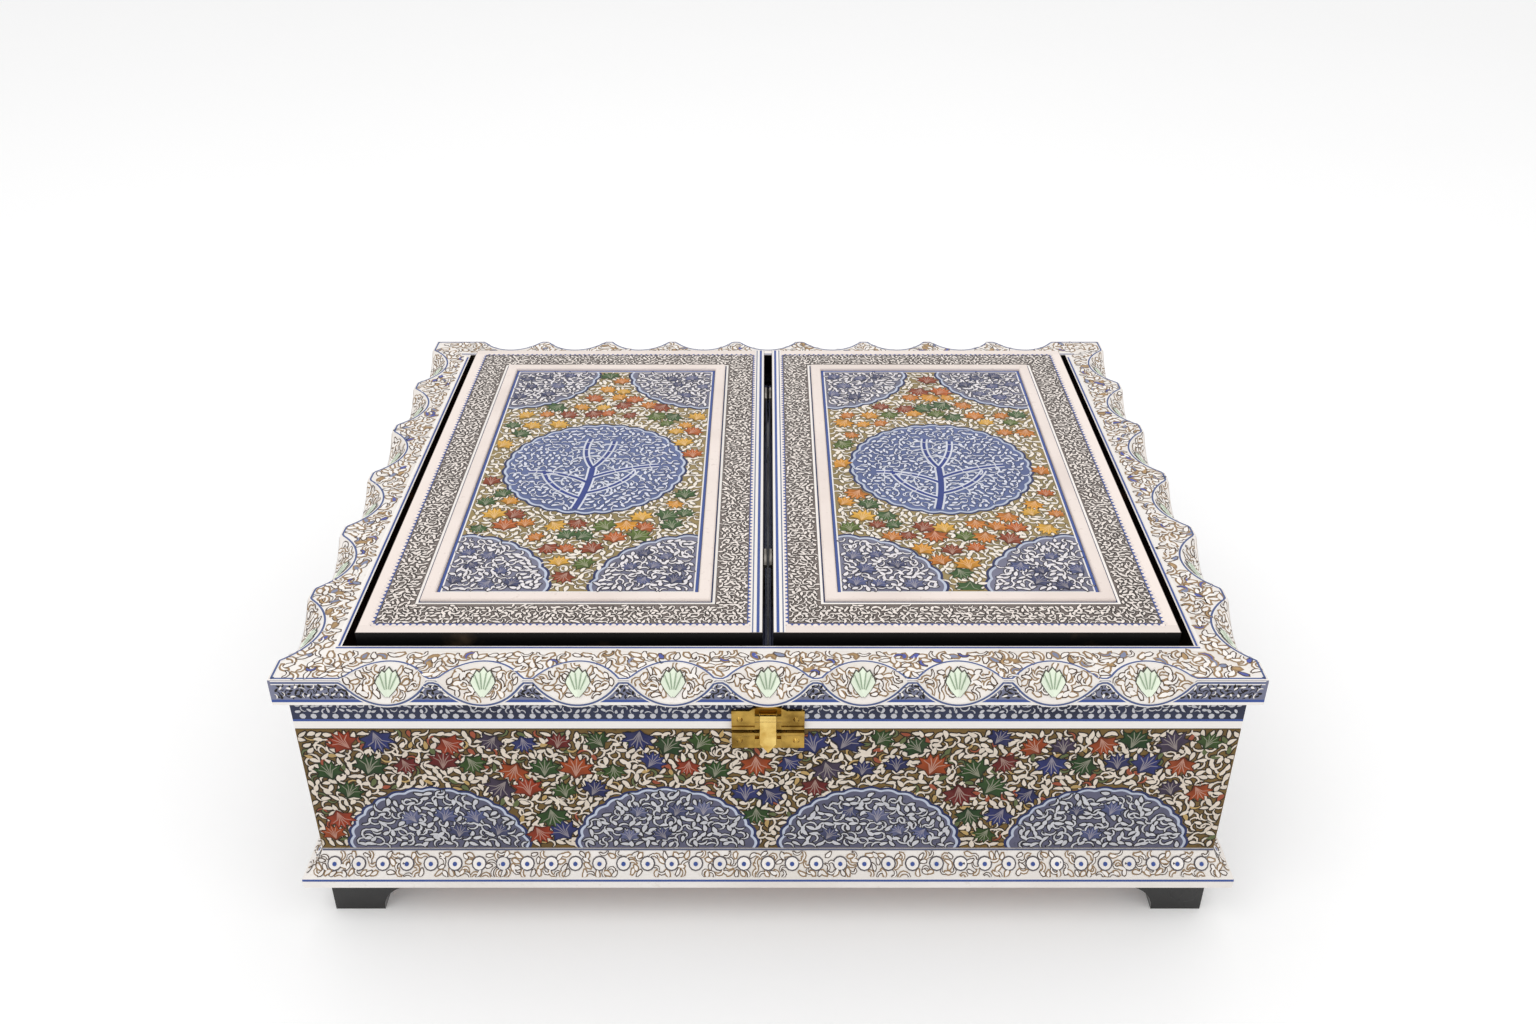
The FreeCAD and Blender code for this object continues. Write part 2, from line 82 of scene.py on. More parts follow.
class Graph:
    """Adds shader nodes one call at a time."""

    def __init__(self, name):
        self.material = bpy.data.materials.new(name)
        self.material.use_nodes = True
        self.tree = self.material.node_tree
        self.shader = self.tree.nodes["Principled BSDF"]
        self.coord = self.add("ShaderNodeTexCoord")

    def add(self, kind, **sockets):
        node = self.tree.nodes.new(kind)
        for key, value in sockets.items():
            self.feed(node.inputs[key], value)
        return node

    def feed(self, socket, value):
        if isinstance(value, bpy.types.NodeSocket):
            self.tree.links.new(value, socket)
        else:
            socket.default_value = value

    def math(self, operation, a, b=0.0, c=0.0):
        node = self.tree.nodes.new("ShaderNodeMath")
        node.operation = operation
        for socket, value in zip(node.inputs, (a, b, c)):
            self.feed(socket, value)
        return node.outputs[0]

    def mix(self, factor, a, b):
        node = self.tree.nodes.new("ShaderNodeMix")
        node.data_type = "RGBA"
        self.feed(node.inputs[MIX_FACTOR], factor)
        self.feed(node.inputs[MIX_A], a)
        self.feed(node.inputs[MIX_B], b)
        return node.outputs[MIX_RESULT]

    def noise(self, scale, detail=3.0, stretch=(1, 1, 1)):
        place = self.add("ShaderNodeMapping", Vector=self.coord.outputs["Object"], Scale=stretch)
        node = self.add("ShaderNodeTexNoise", Vector=place.outputs[0], Scale=scale, Detail=detail)
        return node.outputs[0]

    def ramp(self, value, low, high):
        node = self.add("ShaderNodeMapRange", Value=value)
        node.interpolation_type = "SMOOTHSTEP"
        self.feed(node.inputs["From Min"], low)
        self.feed(node.inputs["From Max"], high)
        return node.outputs[0]

    def split(self, output):
        return self.add("ShaderNodeSeparateXYZ", Vector=self.coord.outputs[output]).outputs

    def finish(self, color, roughness, bump, strength, metallic=0.0, coat=0.0, specular=0.5):
        self.feed(self.shader.inputs["Base Color"], color)
        self.feed(self.shader.inputs["Roughness"], roughness)
        self.feed(self.shader.inputs["Metallic"], metallic)
        self.feed(self.shader.inputs["Coat Weight"], coat)
        self.feed(self.shader.inputs["Specular IOR Level"], specular)
        node = self.add("ShaderNodeBump", Height=bump, Strength=strength, Distance=BUMP_HEIGHT)
        self.feed(self.shader.inputs["Normal"], node.outputs[0])
        return self.material


def linear(c):
    """One channel of a display colour, taken off the sRGB curve."""
    return c / 12.92 if c <= 0.04045 else ((c + 0.055) / 1.055) ** 2.4


def rgb(r, g, b):
    """A display colour as the linear values a shader takes."""
    return (linear(r), linear(g), linear(b), 1.0)


print("graph builder ready")

# %% [markdown]
# ## The painter's colours
# The box has few colours: cream and white petals, olive and slate grounds, navy outlines, umber
# lines on the white parts. Naming them once keeps the whole box in one family. A ground is a pair,
# its light tone and its dark one.

# %% Colours
CREAM = rgb(0.88, 0.83, 0.77)
CREAM_DARK = rgb(0.74, 0.68, 0.60)
WHITE = rgb(0.97, 0.95, 0.93)
PINK = rgb(0.95, 0.90, 0.87)
PALE = rgb(0.80, 0.80, 0.82)
BLACK = rgb(0.055, 0.05, 0.048)
WORN = rgb(0.26, 0.21, 0.16)
AMBER = rgb(0.78, 0.48, 0.18)
AMBER_DARK = rgb(0.66, 0.38, 0.12)
NAVY = rgb(0.15, 0.19, 0.36)
BLUE = rgb(0.25, 0.34, 0.60)
INK = rgb(0.11, 0.09, 0.08)
UMBER = rgb(0.32, 0.24, 0.18)
TAN = rgb(0.60, 0.49, 0.36)

OLIVE_GROUND = rgb(0.45, 0.35, 0.17), rgb(0.26, 0.20, 0.11)
NIGHT_GROUND = rgb(0.20, 0.22, 0.32), rgb(0.11, 0.11, 0.15)
RAIL_GROUND = rgb(0.50, 0.51, 0.60), rgb(0.36, 0.37, 0.45)
FRAME_WHITE = WHITE, rgb(0.88, 0.84, 0.80)
PLINTH_WHITE = WHITE, rgb(0.90, 0.87, 0.83)
LEAF_GREY = rgb(0.48, 0.44, 0.42), rgb(0.37, 0.33, 0.31)
MOULDING_PINK = PINK, rgb(0.86, 0.80, 0.77)
SPINE_BLUE = rgb(0.54, 0.56, 0.68), rgb(0.42, 0.44, 0.56)
SLATE_GROUND = rgb(0.47, 0.47, 0.55), rgb(0.34, 0.34, 0.41)
DUSK_GROUND = rgb(0.38, 0.38, 0.47), rgb(0.27, 0.27, 0.34)
BLUE_GROUND = rgb(0.38, 0.43, 0.60), rgb(0.29, 0.33, 0.49)
GOLD_GROUND = rgb(0.60, 0.52, 0.34), rgb(0.44, 0.40, 0.26)
BRASS = rgb(0.74, 0.60, 0.30), rgb(0.46, 0.35, 0.15)
POLISHED_BRASS = rgb(0.94, 0.82, 0.50), rgb(0.78, 0.62, 0.30)
STEEL = rgb(0.62, 0.60, 0.57), rgb(0.34, 0.32, 0.30)
print("colours named")

# %% [markdown]
# ## Lacquer, wood, paint and metal
# The edges of the leaves, the feet and the rims are black lacquer that is rubbed brown in places.
# The trays are amber wood, which a stretched noise turns into grain. Painted grounds are cloudy,
# with a fine speckle. Brass and steel get a mottled tone and an uneven polish.

# %% Finishes
INWARD = -0.001


def lacquer_color(g):
    worn = g.ramp(g.noise(38.0, detail=6.0), low=0.60, high=0.74)
    return g.mix(worn, BLACK, WORN)


def wood_color(g, stretch):
    broad = g.ramp(g.noise(16.0, 4.0, stretch), low=0.30, high=0.70)
    fine = g.ramp(g.noise(240.0, 4.0, stretch), low=0.38, high=0.62)
    grain = g.math("MULTIPLY_ADD", fine, 0.45, g.math("MULTIPLY", broad, 0.55))
    return g.mix(grain, AMBER_DARK, AMBER)


def ground_color(g, light, dark):
    """Aged paint: broad clouds and a fine speckle."""
    cloud = g.ramp(g.noise(22.0, detail=5.0), low=0.35, high=0.75)
    speck = g.ramp(g.noise(420.0, detail=3.0), low=0.58, high=0.72)
    tone = g.math("MAXIMUM", g.math("MULTIPLY", cloud, 0.55), g.math("MULTIPLY", speck, 0.6))
    return g.mix(tone, light, dark)


def banded(g, bands, color):
    """Stripes between two heights in millimetres, over a ground."""
    height = g.split("Object")[2]
    for low, high, stripe in bands:
        above = g.math("GREATER_THAN", height, low * MM)
        below = g.math("LESS_THAN", height, high * MM)
        color = g.mix(g.math("MULTIPLY", above, below), color, stripe)
    return color


def inward_mask(g):
    """1 on faces that look towards the middle of the box."""
    x, y = g.split("Object")[:2]
    nx, ny = g.split("Normal")[:2]
    outward = g.math("ADD", g.math("MULTIPLY", x, nx), g.math("MULTIPLY", y, ny))
    return g.math("LESS_THAN", outward, INWARD)


def varnish(g, color):
    return g.finish(color, roughness=0.42, bump=g.noise(300.0), strength=0.10, coat=0.04,
                    specular=0.22)


def make_plain(name, light, dark):
    g = Graph(name)
    return varnish(g, ground_color(g, light, dark))


def make_lacquer():
    g = Graph("black_lacquer")
    polish = g.ramp(g.noise(30.0), low=0.1, high=1.4)
    return g.finish(lacquer_color(g), polish, bump=g.noise(160.0), strength=0.15, coat=0.2)


def make_wood(name, stretch):
    g = Graph(name)
    grain = g.noise(240.0, 4.0, stretch)
    return g.finish(wood_color(g, stretch), roughness=0.48, bump=grain, strength=0.25, coat=0.08)


def make_metal(name, light, dark, roughness):
    g = Graph(name)
    tone = g.ramp(g.noise(120.0, detail=5.0), low=0.35, high=0.7)
    rough = g.math("MULTIPLY_ADD", g.noise(90.0), 0.25, roughness)
    color = g.mix(tone, light, dark)
    return g.finish(color, rough, bump=g.noise(260.0), strength=0.08, metallic=1.0)


def make_stroke():
    """Brush strokes: the colour of each polygon, a little uneven."""
    g = Graph("brush_strokes")
    paint = g.add("ShaderNodeAttribute")
    paint.attribute_name = "paint"
    patchy = g.ramp(g.noise(260.0, detail=4.0), low=0.4, high=0.75)
    thin = g.math("MULTIPLY", patchy, 0.03)
    return varnish(g, g.mix(thin, paint.outputs["Color"], CREAM_DARK))


stroke_material = make_stroke()
print("finishes defined")

# %% [markdown]
# ## Pieces with two finishes
# A wall is olive outside, amber wood inside and black on its rim; a frame rail is white above and
# slate on its face. Separate meshes for each side would break the CAD piece up, so the material
# looks at the normal and the height of each point and picks the finish there.

# %% Grounds of the painted pieces
LEVEL = 0.5          # a normal that rises more than this belongs to a level face
HOLLOW_RISE = 0.25   # the same for the sloping hollows of the frame
UPRIGHT_GRAIN = (1, 1, 9)
LONG_GRAIN = (1, 0.06, 1)


def make_wall():
    g = Graph("wall_paint")
    color = ground_color(g, *OLIVE_GROUND)
    rim = g.math("GREATER_THAN", g.split("Normal")[2], LEVEL)
    color = g.mix(rim, color, lacquer_color(g))
    return varnish(g, g.mix(inward_mask(g), color, wood_color(g, UPRIGHT_GRAIN)))


def make_band():
    """Navy over a blue line and a white strip, with a black worn rim above and below."""
    g = Graph("band_paint")
    foot = BAND_LOW[2]
    stripes = [(foot, foot + 3.4, WHITE), (foot + 3.4, foot + 4.4, BLUE)]
    color = banded(g, stripes, ground_color(g, *NIGHT_GROUND))
    rims = g.math("GREATER_THAN", g.math("ABSOLUTE", g.split("Normal")[2]), LEVEL)
    color = g.mix(rims, color, lacquer_color(g))
    return varnish(g, g.mix(inward_mask(g), color, wood_color(g, UPRIGHT_GRAIN)))


def make_frame():
    """White above and in the hollows, slate outside, black towards the leaves and below."""
    g = Graph("frame_paint")
    foot = RAIL_LOW[2]
    stripes = [(foot, foot + 1.3, WHITE), (foot + 1.3, foot + 2.5, BLUE)]
    face = banded(g, stripes, ground_color(g, *RAIL_GROUND))
    rise = g.split("Normal")[2]
    hidden = g.math("MAXIMUM", inward_mask(g), g.math("LESS_THAN", rise, -LEVEL))
    face = g.mix(hidden, face, lacquer_color(g))
    flat = ground_color(g, *FRAME_WHITE)
    return varnish(g, g.mix(g.math("GREATER_THAN", rise, HOLLOW_RISE), face, flat))


def make_leaf_ground():
    """Warm grey on top, black lacquer on the edges and underneath."""
    g = Graph("leaf_paint")
    above = g.math("GREATER_THAN", g.split("Normal")[2], LEVEL)
    return varnish(g, g.mix(above, lacquer_color(g), ground_color(g, *LEAF_GREY)))


def make_plinth():
    """White with a blue line above the lip."""
    g = Graph("plinth_paint")
    foot = PLINTH_LOW[2]
    stripes = [(foot + 3.3, foot + 4.5, BLUE)]
    return varnish(g, banded(g, stripes, ground_color(g, *PLINTH_WHITE)))


finish_of = {
    "wall_paint": make_wall(),
    "plinth_paint": make_plinth(),
    "band_paint": make_band(),
    "frame_paint": make_frame(),
    "leaf_paint": make_leaf_ground(),
    "moulding_paint": make_plain("moulding_paint", *MOULDING_PINK),
    "spine_paint": make_plain("spine_paint", *SPINE_BLUE),
    "amber_wood": make_wood("amber_wood", LONG_GRAIN),
    "black_lacquer": make_lacquer(),
    "brass": make_metal("brass", *BRASS, roughness=0.14),
    "steel": make_metal("steel", *STEEL, roughness=0.32),
}
polished_brass = make_metal("polished_brass", *POLISHED_BRASS, roughness=0.06)
slate_field = make_plain("slate_field", *SLATE_GROUND)
dusk_field = make_plain("dusk_field", *DUSK_GROUND)
blue_field = make_plain("blue_field", *BLUE_GROUND)
gold_field = make_plain("gold_field", *GOLD_GROUND)
for part in frame["record"]["subparts"]:
    target = nodes[part["node"]]
    target.data.materials.clear()
    target.data.materials.append(finish_of[part["material_slot"]])
nodes["hasp_tongue"].data.materials[0] = polished_brass
print("painted", len(nodes), "CAD pieces with", len(finish_of), "finishes")

# %% [markdown]
# ## A sheet of brush work
# Paint could be drawn with textures, but thousands of separate strokes in a fixed order read better
# as real polygons. A sheet lies on one face of the box: place(u, v, lift) turns flat places into
# points just above that face. Each stroke is a filled outline, a capped circle or an edge extruded
# along a path. It lies a hair above what was painted before it, because polygons that share a plane
# render black where they overlap.

# %% The sheet
# Heights above the face in millimetres: the first layer, each layer more, each stroke more.
FIRST_LIFT, LAYER_LIFT, STROKE_LIFT = 0.02, 0.03, 0.0012
LIFT_CYCLE = 23      # strokes until the height within a layer starts again
SHADES = (0.92, 1.06)
SLIVER = 0.002       # mm; what is thinner after clipping is dissolved


class Sheet:
    """Brush work on one face of the box, riding on one body."""

    def __init__(self, name, body, slot, place, material=None):
        self.name, self.body, self.slot, self.place = name, body, slot, place
        self.material = material or stroke_material
        self.bm = bmesh.new()
        self.paint = self.bm.loops.layers.float_color.new("paint")
        self.count = 0

    def lift(self, layer):
        self.count += 1
        return (FIRST_LIFT + LAYER_LIFT * layer + STROKE_LIFT * (self.count % LIFT_CYCLE)) * MM

    def point(self, u, v, lift):
        return self.place(u * MM, v * MM, lift)

    def vert(self, at, lift):
        return self.bm.verts.new(self.point(at[0], at[1], lift))

    def tint(self, faces, at, color, shades=None):
        """Turns the faces outwards and colours their corners."""
        out = Vector(self.point(at[0], at[1], MM)) - Vector(self.point(at[0], at[1], 0.0))
        shade = rng.uniform(*SHADES)
        for face in faces:
            for i, loop in enumerate(face.loops):
                press = shade * (shades[i] if shades else 1.0)
                loop[self.paint] = tuple(min(1.0, c * press) for c in color[:3]) + (1.0,)
            face.normal_update()
            if face.normal.dot(out) < 0:
                face.normal_flip()

    def fill(self, outline, color, layer=1, shades=None):
        """A filled outline."""
        lift = self.lift(layer)
        face = self.bm.faces.new([self.vert(at, lift) for at in outline])
        self.tint([face], outline[0], color, shades)

    def dot(self, at, radius, color, layer=1, sides=8):
        """A round dab."""
        lift = self.lift(layer)
        made = bmesh.ops.create_circle(self.bm, cap_ends=True, segments=sides, radius=radius)
        for vert in made["verts"]:
            vert.co = self.point(at[0] + vert.co.x, at[1] + vert.co.y, lift)
        self.tint(made["verts"][0].link_faces, at, color)

    def ribbon(self, rims, color, layer=1):
        """A brush line: an edge extruded from each pair of rim points to the next."""
        lift = self.lift(layer)
        ends = [self.vert(at, lift) for at in rims[0]]
        edge = self.bm.edges.new(ends)
        faces = []
        for pair in rims[1:]:
            made = bmesh.ops.extrude_edge_only(self.bm, edges=[edge])["geom"]
            faces += [part for part in made if isinstance(part, bmesh.types.BMFace)]
            fresh = [part for part in made if isinstance(part, bmesh.types.BMVert)]
            ends = sorted(fresh, key=lambda vert: (vert.co - ends[0].co).length)
            for vert, at in zip(ends, pair):
                vert.co = self.point(at[0], at[1], lift)
            edge = self.bm.edges.get(ends)
        self.tint(faces, rims[0][0], color)

    def build(self):
        """Cuts the strokes into triangles, drops slivers and makes the piece."""
        bmesh.ops.triangulate(self.bm, faces=self.bm.faces)
        bmesh.ops.dissolve_degenerate(self.bm, dist=SLIVER * MM, edges=self.bm.edges)
        mesh = bpy.data.meshes.new(self.name)
        self.bm.to_mesh(mesh)
        self.bm.free()
        mesh.materials.append(self.material)
        piece = bpy.data.objects.new(self.name, mesh)
        bpy.context.scene.collection.objects.link(piece)
        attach(piece, self.body)
        print(self.name, self.count, "strokes")


print("sheets ready")

# %% [markdown]
# ## Lines, curls and petals
# The painter has a small stock of strokes. A line swells in its middle. A curl sets out and keeps
# turning. A comma is a petal with a round head and a thin tail, and hundreds of them, each with a
# dark rim, make the close pattern that covers the box.

# %% Lines and outlines
COMMA_PROFILE = (0.45, 0.95, 1.0, 0.65, 0.15)   # width of a petal from head to tail
COMMA_STEPS = len(COMMA_PROFILE) - 1
FAR = 1e3


def turned(points, angle, at):
    c, s = math.cos(angle), math.sin(angle)
    return [(at[0] + u * c - v * s, at[1] + u * s + v * c) for u, v in points]


def shrunk(bounds, inset):
    """A rectangle drawn in by the inset on all sides."""
    u0, u1, v0, v1 = bounds
    return (u0 + inset, u1 - inset, v0 + inset, v1 - inset)


def stroke(sheet, path, width, color, layer=1, taper=0.35):
    """A brush line along a path, thinner towards its ends."""
    count = len(path)
    rims = []
    for i, (u, v) in enumerate(path):
        a, b = path[max(0, i - 1)], path[min(count - 1, i + 1)]
        length = math.hypot(b[0] - a[0], b[1] - a[1]) or 1.0
        press = width / 2 * (taper + (1 - taper) * math.sin(math.pi * (i + 0.5) / count))
        du, dv = -(b[1] - a[1]) / length * press, (b[0] - a[0]) / length * press
        rims.append(((u + du, v + dv), (u - du, v - dv)))
    sheet.ribbon(rims, color, layer)


def even_line(sheet, path, width, color, layer):
    stroke(sheet, path, width, color, layer, taper=1.0)


def curl(point, angle, length, bend, steps=8):
    """A path that sets out at an angle and keeps turning."""
    path = [point]
    for i in range(1, steps + 1):
        a = angle + bend * i / steps
        u, v = path[-1]
        path.append((u + length / steps * math.cos(a), v + length / steps * math.sin(a)))
    return path


def comma(at, length, width, angle, bend, grow=0.0):
    """Outline of a comma-shaped petal round a point; grow makes room for its rim."""
    path = curl((0.0, 0.0), angle, length, bend, COMMA_STEPS)
    middle = path[COMMA_STEPS // 2]
    left, right = [], []
    for i, (u, v) in enumerate(path):
        a = angle + bend * i / COMMA_STEPS
        half = width / 2 * COMMA_PROFILE[i] + grow
        back = (-grow, 0, 0, 0, grow)[i]
        u = at[0] + u - middle[0] + back * math.cos(a)
        v = at[1] + v - middle[1] + back * math.sin(a)
        left.append((u - half * math.sin(a), v + half * math.cos(a)))
        right.append((u + half * math.sin(a), v - half * math.cos(a)))
    return right + left[::-1]


def clipped(outline, limits):
    """The outline with every point drawn back inside the limits of its field."""
    u0, u1, v0, v1 = limits or (-FAR, FAR, -FAR, FAR)
    return [(min(max(u, u0), u1), min(max(v, v0), v1)) for u, v in outline]


print("lines ready")

# %% Fields of petals
CURL_SHARE = 0.45      # of the petals that are thin curls
ACCENT_SHARE = 0.14    # of the petals in a second colour
# Ranges of length and width, in sizes of the petal, and of the bend in radians.
PETAL_LENGTH, PETAL_WIDTH, PETAL_BEND = (0.85, 1.25), (0.42, 0.58), (0.2, 1.2)
CURL_LENGTH, CURL_WIDTH, CURL_BEND = (1.3, 1.8), (0.22, 0.30), (1.8, 3.2)
ROW_STEP, ROW_SHIFT, JITTER = 0.87, 0.25, 0.2


def petal_field(sheet, points, size, color, line, layer=1, gap=1, rim=0.3, accents=(),
                limits=None):
    """Petals and thin curls with dark rims at the points, cut off at the limits of the field."""
    for at in points:
        thin = rng.random() < CURL_SHARE
        length = size * rng.uniform(*(CURL_LENGTH if thin else PETAL_LENGTH))
        width = size * rng.uniform(*(CURL_WIDTH if thin else PETAL_WIDTH))
        bend = rng.choice((-1, 1)) * rng.uniform(*(CURL_BEND if thin else PETAL_BEND))
        angle = rng.uniform(0.0, 2 * math.pi)
        if line is not None:
            sheet.fill(clipped(comma(at, length, width, angle, bend, rim), limits), line, layer)
        tone = rng.choice(accents) if accents and rng.random() < ACCENT_SHARE else color
        sheet.fill(clipped(comma(at, length, width, angle, bend), limits), tone, layer + gap)


def scatter(bounds, spacing, inside=None):
    """Points spread evenly but not in rows."""
    u0, u1, v0, v1 = bounds
    points = []
    rows = max(1, round((v1 - v0) / (spacing * ROW_STEP)))
    for j in range(rows):
        v = v0 + (j + 0.5) * (v1 - v0) / rows
        count = max(1, round((u1 - u0) / spacing))
        for i in range(count):
            u = u0 + (i + 0.5 + (ROW_SHIFT if j % 2 else -ROW_SHIFT)) * (u1 - u0) / count
            at = (u + rng.uniform(-JITTER, JITTER) * spacing,
                  v + rng.uniform(-JITTER, JITTER) * spacing)
            if inside is None or inside(*at):
                points.append(at)
    return points


print("petals ready")

# %% [markdown]
# ## Leaves and medallions
# Plane-tree leaves lie over the petals, dark at the stalk and bright at their points. Medallions
# are round or half-round fields with a scalloped navy line. A wavy outline filled three times, each
# time smaller, gives the line, the pale band and the field.

# %% Leaves
WALL_LEAVES = [rgb(0.60, 0.20, 0.06), rgb(0.15, 0.28, 0.09), rgb(0.14, 0.16, 0.36),
               rgb(0.42, 0.09, 0.08), rgb(0.25, 0.20, 0.29), rgb(0.62, 0.26, 0.07),
               rgb(0.12, 0.25, 0.09), rgb(0.20, 0.31, 0.10), rgb(0.16, 0.19, 0.42)]
GOLD_LEAVES = [rgb(0.88, 0.60, 0.16), rgb(0.76, 0.38, 0.10), rgb(0.36, 0.44, 0.16),
               rgb(0.58, 0.25, 0.10), rgb(0.90, 0.68, 0.24), rgb(0.25, 0.38, 0.19),
               rgb(0.82, 0.49, 0.14)]
DUSK_LEAVES = [rgb(0.34, 0.37, 0.54), rgb(0.28, 0.30, 0.44), rgb(0.40, 0.42, 0.56)]
HALF_FAN = [(0.0, -0.75), (0.34, -0.42), (0.95, -0.30), (0.70, 0.02), (1.0, 0.42), (0.52, 0.36),
            (0.46, 0.86), (0.18, 0.55), (0.0, 1.0)]
FAN = HALF_FAN + [(-u, v) for u, v in reversed(HALF_FAN[1:-1])]
FAN_STALK = 0.6
FAN_SHADE = [0.45 + 0.55 * min(1.0, math.hypot(u, v + FAN_STALK) / 1.3) for u, v in FAN]
FAN_TIPS = ((0, 0.78), (0.36, 0.62), (-0.36, 0.62), (0.70, 0.30), (-0.70, 0.30))
FAN_RIM, VEIN_WIDTH = 1.15, 0.08


def fan_leaf(sheet, at, size, angle, color, layer, limits):
    """A plane-tree leaf, dark at the stalk and bright at its points, with pale veins."""
    whole, back = ([(u * reach, v * reach) for u, v in FAN] for reach in (size, size * FAN_RIM))
    dark = tuple(0.25 * c for c in color[:3])
    vein = tuple(0.70 * a + 0.30 * b for a, b in zip(color, CREAM))
    sheet.fill(clipped(turned(back, angle, at), limits), dark, layer)
    sheet.fill(clipped(turned(whole, angle, at), limits), color, layer + 1, FAN_SHADE)
    for u, v in FAN_TIPS:
        rib = [(0, -FAN_STALK * size), (u * 0.4 * size, v * 0.3 * size), (u * size, v * size)]
        path = turned(rib, angle, at)
        if clipped(path, limits) == path:
            stroke(sheet, path, size * VEIN_WIDTH, vein, layer + 2)


def leaf_spray(sheet, points, size, colors, layer, limits):
    """Leaves at the points, two of three upright."""
    for at in points:
        angle = rng.choice((0.0, 0.0, math.pi)) + rng.uniform(-0.7, 0.7)
        reach = size * rng.uniform(0.8, 1.15)
        fan_leaf(sheet, at, reach, angle, rng.choice(colors), layer, limits)


print("leaves ready")

# %% Medallions, frames and beads
FULL_TURN = 2 * math.pi
RING_PALE = rgb(0.74, 0.77, 0.84)
LOBE_STEPS, LOBE_DEPTH = 8, 0.03


def is_whole(start, end):
    return abs(end - start - FULL_TURN) < 1e-6


def wavy(at, radius, lobes, depth, start, end, squash):
    """A round outline whose edge swells into lobes."""
    steps = max(12, int(lobes * LOBE_STEPS * (end - start) / FULL_TURN))
    points = []
    for i in range(steps + (0 if is_whole(start, end) else 1)):
        a = start + (end - start) * i / steps
        r = radius + depth * (abs(math.sin(lobes * a / 2)) - 0.5)
        points.append((at[0] + r * math.cos(a), at[1] + squash * r * math.sin(a)))
    return points


def medallion(lines, field, at, radius, lobes, start=0.0, end=FULL_TURN, squash=1.0, layer=2):
    """A field inside a pale band and a scalloped navy line."""
    rings = ((0.0, lines, NAVY), (1.1, lines, RING_PALE), (2.2, field, SLATE_GROUND[0]))
    for step, (inset, sheet, color) in enumerate(rings):
        outline = wavy(at, radius - inset, lobes, radius * LOBE_DEPTH, start, end, squash)
        sheet.fill(outline if is_whole(start, end) else outline + [at], color, layer + step)


def block(sheet, bounds, color, layer):
    """A filled rectangle."""
    u0, u1, v0, v1 = bounds
    sheet.fill([(u0, v0), (u1, v0), (u1, v1), (u0, v1)], color, layer)


def frame_line(sheet, bounds, width, color, layer=2):
    """A painted line round a rectangle."""
    u0, u1, v0, v1 = bounds
    a, b, c, d = shrunk(bounds, width)
    for side in ((u0, u1, v0, c), (u0, u1, d, v1), (u0, a, c, d), (b, u1, c, d)):
        block(sheet, side, color, layer)


def bead_row(sheet, start, end, pitch, radius, color, layer=3):
    """Dots along a line."""
    du, dv = end[0] - start[0], end[1] - start[1]
    count = max(1, int(math.hypot(du, dv) / pitch))
    for i in range(count):
        t = (i + 0.5) / count
        sheet.dot((start[0] + du * t, start[1] + dv * t), radius, color, layer, sides=7)


print("medallions ready")

# %% [markdown]
# ## The leaves of the stand
# Each leaf is a book cover lying flat: a beaded edge, a border of grey scrolls, the raised moulding
# of the CAD model, and inside it a gold field with four slate corners and a blue medallion. A tree
# grows in the medallion from the front edge. Petals, leaves and lines are separate sheets, so each
# stays a light mesh.

# %% The tree and the edges of a leaf
TREE_BLUE = rgb(0.17, 0.24, 0.52)
TREE_PALE = rgb(0.84, 0.85, 0.89)
STRIPE_GREY = rgb(0.42, 0.46, 0.58)
TRUNK_WIDTH, BOUGH_WIDTH, TWIG_WIDTH, TREE_RIM = 2.6, 1.5, 0.8, 1.8
# Where each bough leaves the trunk, its first heading, its reach and its bend.
BOUGHS = [(2, 2.75, 0.85, -0.9), (3, 0.25, 0.80, 0.9), (5, 2.35, 0.80, 0.8),
          (6, 0.65, 0.85, -0.5), (8, 2.1, 0.75, -0.7), (8, 1.0, 0.70, 0.5)]
TWIG_SPOTS = (3, 5, 7)
LEAF_EDGE = 4.6      # width of the pink edge of a leaf
LEAF_INSET = 0.2     # paint stops this far from the arris
# Stripes beside the spine: from, to, colour and layer.
SPINE_STRIPES = ((0.0, 4.4, WHITE, 3), (1.0, 2.1, BLUE, 4), (3.3, 3.8, STRIPE_GREY, 4))


def paint_tree(sheet, foot, radius, layer=9):
    """A trunk and boughs edged in white, with fine curling twigs; hands back their points."""
    trunk = curl(foot, 1.32, radius * 0.95, 0.25)
    boughs = [curl(trunk[spot], turn, radius * reach, bend) for spot, turn, reach, bend in BOUGHS]
    limbs = [(trunk, TRUNK_WIDTH)] + [(bough, BOUGH_WIDTH) for bough in boughs]
    for path, width in limbs:
        even_line(sheet, path, width + TREE_RIM, TREE_PALE, layer)
    for path, width in limbs:
        even_line(sheet, path, width, TREE_BLUE, layer + 1)
    for path in boughs:
        for spot in TWIG_SPOTS:
            (u, v), (u_before, v_before) = path[spot], path[spot - 1]
            heading = math.atan2(v - v_before, u - u_before)
            for hand in (-1, 1):
                reach = radius * rng.uniform(0.16, 0.26)
                twig = curl(path[spot], heading + hand * 0.9, reach, hand * 1.8, 6)
                stroke(sheet, twig, TWIG_WIDTH, TREE_PALE, layer + 2)
    return trunk + [at for bough in boughs for at in bough]


